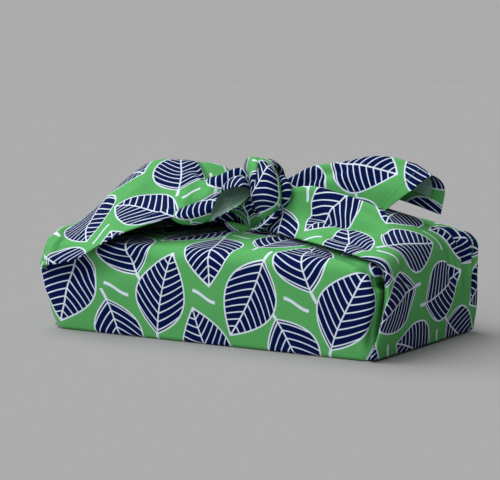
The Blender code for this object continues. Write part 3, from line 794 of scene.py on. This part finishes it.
leftTail = {
    "sections": (
        ((-1, -15, 96.5), (-2.5, -12, 98), (-4, -10, 100.5), (-4, -11, 103), (-2, -15, 102), (0, -18, 100)),
        ((1, -30, 91), (-6, -19, 92.5), (-9, -13, 100), (-9, -14, 108), (-3, -23, 107.3), (2.6, -32, 102.5)),
        ((-2.5, -34, 87.5), (-10.5, -23, 90.5), (-14.5, -17, 100), (-14, -18, 107.5), (-8, -27, 106.8),
         (-2.9, -34, 102.5)),
        ((-5, -38, 85), (-12.5, -29, 89), (-16.5, -24, 96.5), (-16.5, -24, 103.5), (-12, -30, 104.3),
         (-7, -36, 101)),
        ((-12.5, -40, 81), (-17.3, -34, 84.3), (-19.9, -30, 90), (-19, -30, 95.6), (-16, -32.5, 98.4),
         (-12.5, -36.5, 98.9)),
        ((-17.8, -43, 78), (-19, -41, 81.3), (-20.5, -39, 86.6), (-19.5, -38, 90.6), (-17.5, -38.5, 93.3),
         (-15.7, -40, 94.8)),
    ),
    "rows": 56, "columns": 60,
    "facing": (0, 0.5, 0.5),
    "leaf": (0.35, 0.72, 0, 0, 0),
    "flatSize": (0.038, 0.036),
    "restsOn": ["leftFlap"],
}
sectionPiece("leftTail", leftTail)

tailCorner = {
    "sections": (
        ((-17, -44, 79), (-13, -47.5, 85), (-10.7, -47.5, 91), (-10.6, -44, 95.5), (-11.5, -39, 98.5)),
        ((-23, -46, 76.7), (-19.6, -50, 82), (-17, -50, 88), (-16, -47, 92.5), (-16.8, -42, 95)),
        ((-29.3, -49, 76), (-26.5, -53, 80.5), (-25.7, -53, 85.3), (-25.3, -50, 89), (-25.4, -45, 91.5)),
        ((-35.5, -52, 76.6), (-33.4, -55, 79.6), (-33.4, -55, 83), (-33, -53, 86), (-34, -48, 88.4)),
        ((-41.6, -54, 79.8), (-40.8, -55, 80.6), (-40, -55, 82), (-40.7, -54, 82.6), (-41.3, -52, 83.8)),
    ),
    "rows": 50, "columns": 36,
    "facing": (0, -1, 0.3),
    "leaf": (0.4, 0.6, 6, 0, 150),
    "flatSize": (0.038, 0.018),
    "restsOn": ["leftFlap"],
}
sectionPiece("tailCorner", tailCorner)


knotLobe = {
    "sections": (
        ((-1, 9, 93), (0, 14, 94), (5, 16, 95), (9.5, 14, 93.5), (9, 9, 92)),
        ((-2, 12, 103), (0, 13.5, 105), (5, 14, 106), (9.5, 13, 104), (8.5, 11, 102)),
        ((-6, 4, 115), (-1, 2, 118.5), (6, 1, 119), (11, 2, 115), (8, 5, 112)),
        ((-6.5, 0, 117), (-1, -6, 120), (6, -8, 119.6), (11, -6, 116), (8, 0, 113.5)),
        ((-4.5, -6, 110.5), (3.5, -16, 113), (15, -21, 114.5), (20, -15, 109), (15, -6, 107)),
        ((-4, -10, 102), (3, -20, 103.5), (17.5, -26.5, 105), (23.5, -18, 101.5), (18, -8, 99)),
        ((-4.5, -12, 95), (1, -21, 96), (19, -29, 96.5), (25.5, -20, 93.5), (19, -10, 92)),
        ((-2.5, -10, 86.5), (4, -19, 87), (17.5, -25.5, 88), (22, -18, 86.5), (15.5, -9, 84.5)),
        ((1, -8, 79), (7, -16, 79.5), (14, -20, 80.5), (16, -16, 82), (11, -8, 80)),
        ((3, -4, 75), (7, -8, 75), (12, -10, 76), (13, -8, 77), (9, -3, 76)),
    ),
    "rows": 110, "columns": 60,
    "shares": (0, 0.2, 0.5, 0.8, 1),
    "facing": (0, -1, 0.2),
    "leaf": (0.69, 0.45, 9, 0, 142),
    "flatSize": (0.075, 0.045),
}
sectionPiece("knotLobe", knotLobe)

knotFold = {
    "sections": (
        ((-12, 9, 94), (-10, 13, 95), (-6, 15, 96), (-2, 13.5, 95), (-2, 9, 94)),
        ((-14.5, 9, 105), (-11, 11, 108), (-6, 11.5, 109), (-1.5, 11, 107.5), (-2, 9, 105)),
        ((-16.5, 0, 116), (-12, -4, 120), (-6, -7, 121.3), (-1, -6, 120.4), (-2.5, 0, 118)),
        ((-14, -4, 111.5), (-7, -12, 113), (1.5, -18, 114.3), (4.5, -16, 114), (1, -8, 111)),
        ((-8, -8, 105), (-2, -16, 105.7), (3.5, -21, 106.2), (4.7, -19, 106), (0.5, -10, 104)),
        ((-4, -12, 98.5), (0, -18, 99), (2, -20, 99.2), (2.3, -19, 99.2), (-1.3, -12, 98.6)),
        ((-2, -12, 93), (1, -16, 94), (2, -17, 94), (2.5, -16, 94), (0, -12, 93)),
    ),
    "rows": 70, "columns": 40,
    "shares": (0, 0.25, 0.55, 0.8, 1),
    "facing": (0, -1, 0.2),
    "leaf": (0.45, 0.15, 14, 0, 180),
    "flatSize": (0.056, 0.025),
}
sectionPiece("knotFold", knotFold)

turnUnder = {
    "rings": (((-3, -11, 71), 1.6, 1.6), ((3.5, -15, 72.4), 2.3, 2.3), ((9.5, -18, 75), 2.6, 2.6),
              ((15.5, -20, 78.8), 2.8, 2.8), ((19.5, -18, 83), 2.6, 2.6), ((20, -14, 87), 2.2, 2.2)),
    "rows": 60, "around": 33, "wide": (0, 1, 0),
    "leaf": (0.5, 0.5, 0, 0, 0),
    "flatSize": (0.036, 0.0145),
}

rightBight = {
    "rings": (((9, 1, 106), 2.4, 2.4), ((15, -3, 106.2), 3, 3), ((20.8, -7, 103.4), 3.4, 3.4),
              ((23.3, -9.5, 99.5), 3.5, 3.5), ((23.5, -10.5, 94.8), 3.3, 3.3), ((21, -10, 90.6), 3, 3),
              ((15.5, -7, 87), 2.4, 2.4)),
    "rows": 60, "around": 33, "wide": (0, 1, 0),
    "leaf": (0.5, 0.5, 9, 0, -38),
    "flatSize": (0.036, 0.023),
}

lowBunch = {
    "rings": (((-34.5, -1, 76.5), 1.8, 1.8), ((-29.5, -5, 74), 2.8, 2.8), ((-23.5, -7.5, 72), 3.4, 3.4),
              ((-17.5, -7, 71), 3.6, 3.6), ((-10.5, -3, 70), 3.4, 3.4), ((-4.5, 2, 69.5), 2.6, 2.6)),
    "rows": 60, "around": 33, "wide": (0, 1, 0),
    "leaf": (0.5, 0.5, 27, -22, 60),
    "flatSize": (0.033, 0.021),
}

for name, roll in (("turnUnder", turnUnder), ("rightBight", rightBight), ("lowBunch", lowBunch)):
    clothPiece(name, rollGrid(roll["rings"], roll["rows"], roll["around"], roll["wide"])[:, ::-1], roll)

lowerBight = {
    "sections": (
        ((-14.5, -12, 90), (-8, -16, 91.5), (-1, -18, 93), (4, -17, 92.5), (6, -11, 90)),
        ((-19, -15, 86), (-11.7, -19.5, 88), (-2.4, -22.5, 89.5), (2.8, -20.5, 88.5), (3.2, -14, 86)),
        ((-22, -7, 80.5), (-13.2, -12.5, 82.7), (-4, -16, 84), (3, -14, 83.5), (5.6, -7, 80.5)),
        ((-24.5, 0, 74), (-15.6, -4.5, 74.6), (-5.5, -7.5, 74.6), (3, -6.5, 75), (7.8, -1, 76.2)),
        ((-25, 5, 69), (-17, 1, 69), (-7, -2, 69.5), (0.7, -1, 71), (6.3, 3, 73.5)),
    ),
    "rows": 70, "columns": 60,
    "facing": (0, -1, 0),
    "leaf": (0.50, 0.62, 27, -22, 30),
    "creases": ((((0.05, 0.36), (0.5, 0.30), (0.95, 0.32)), 1.6, 1.3),
                (((0.05, 0.50), (0.5, 0.47), (0.95, 0.50)), 1.4, -1.0),
                (((0.05, 0.62), (0.5, 0.62), (0.95, 0.64)), 1.6, 1.2)),
    "flatSize": (0.042, 0.033),
}
sectionPiece("lowerBight", lowerBight)
print("knot tied")


studio = {
    "backdrop": 0.407,            # how bright the floor and what is behind it come out
    "floorAlbedo": 0.362,
    "ambient": 0.20,
    "lights": (                   # name, where it comes from, strength, angle in degrees
        ("keySun", (-0.55, -0.02, 0.83), 2.6, 70),
        ("fillSun", (0.02, -0.82, 0.57), 1.4, 60),
    ),
    "azimuth": 32.5, "elevation": 5.9,
    "eye": (586.5, -939.8, 177.6),
    "lens": 115.2, "sensorWidth": 36,
    "clip": (0.05, 100),          # metres
    "floorReach": 30.0,
}

floorMesh = bpy.data.meshes.new("floor")
reach = studio["floorReach"]
floorMesh.from_pydata([(-reach, -reach, 0), (reach, -reach, 0), (reach, reach, 0), (-reach, reach, 0)], [],
                      [(0, 1, 2, 3)])
floor = bpy.data.objects.new("floor", floorMesh)
bpy.context.scene.collection.objects.link(floor)
floorMaterial = bpy.data.materials.new("paleFloor")
floorMaterial.use_nodes = True
floorShader = floorMaterial.node_tree.nodes["Principled BSDF"]
floorShader.inputs["Base Color"].default_value = (*(studio["floorAlbedo"],) * 3, 1)
floorShader.inputs["Roughness"].default_value = 1.0
floorShader.inputs["Specular IOR Level"].default_value = 0.0
floorMesh.materials.append(floorMaterial)

world = bpy.data.worlds.new("studio")
bpy.context.scene.world = world
world.use_nodes = True
sky = world.node_tree
ground = sky.nodes["Background"]
ground.inputs["Strength"].default_value = 1.0
seen = sky.nodes.new("ShaderNodeLightPath")
level = sums(sky, "MULTIPLY_ADD", seen.outputs["Is Camera Ray"], studio["backdrop"] - studio["ambient"],
             studio["ambient"])
tone = sky.nodes.new("ShaderNodeCombineColor")
for socket in tone.inputs:
    sky.links.new(level, socket)
sky.links.new(tone.outputs[0], ground.inputs["Color"])

for name, fromWhere, strength, angle in studio["lights"]:
    sunData = bpy.data.lights.new(name, "SUN")
    sunData.energy = strength
    sunData.angle = math.radians(angle)
    sun = bpy.data.objects.new(name, sunData)
    bpy.context.scene.collection.objects.link(sun)
    sun.rotation_euler = (math.atan2(math.hypot(fromWhere[0], fromWhere[1]), fromWhere[2]), 0,
                          math.atan2(fromWhere[0], -fromWhere[1]))

cameraData = bpy.data.cameras.new("camera")
cameraData.lens = studio["lens"]
cameraData.sensor_width = studio["sensorWidth"]
cameraData.clip_start, cameraData.clip_end = studio["clip"]
camera = bpy.data.objects.new("camera", cameraData)
bpy.context.scene.collection.objects.link(camera)
camera.location = [value * mm for value in studio["eye"]]
camera.rotation_euler = (math.radians(90 - studio["elevation"]), 0, math.radians(studio["azimuth"]))
bpy.context.scene.camera = camera
bpy.context.scene.view_settings.view_transform = "Standard"
print("studio set")
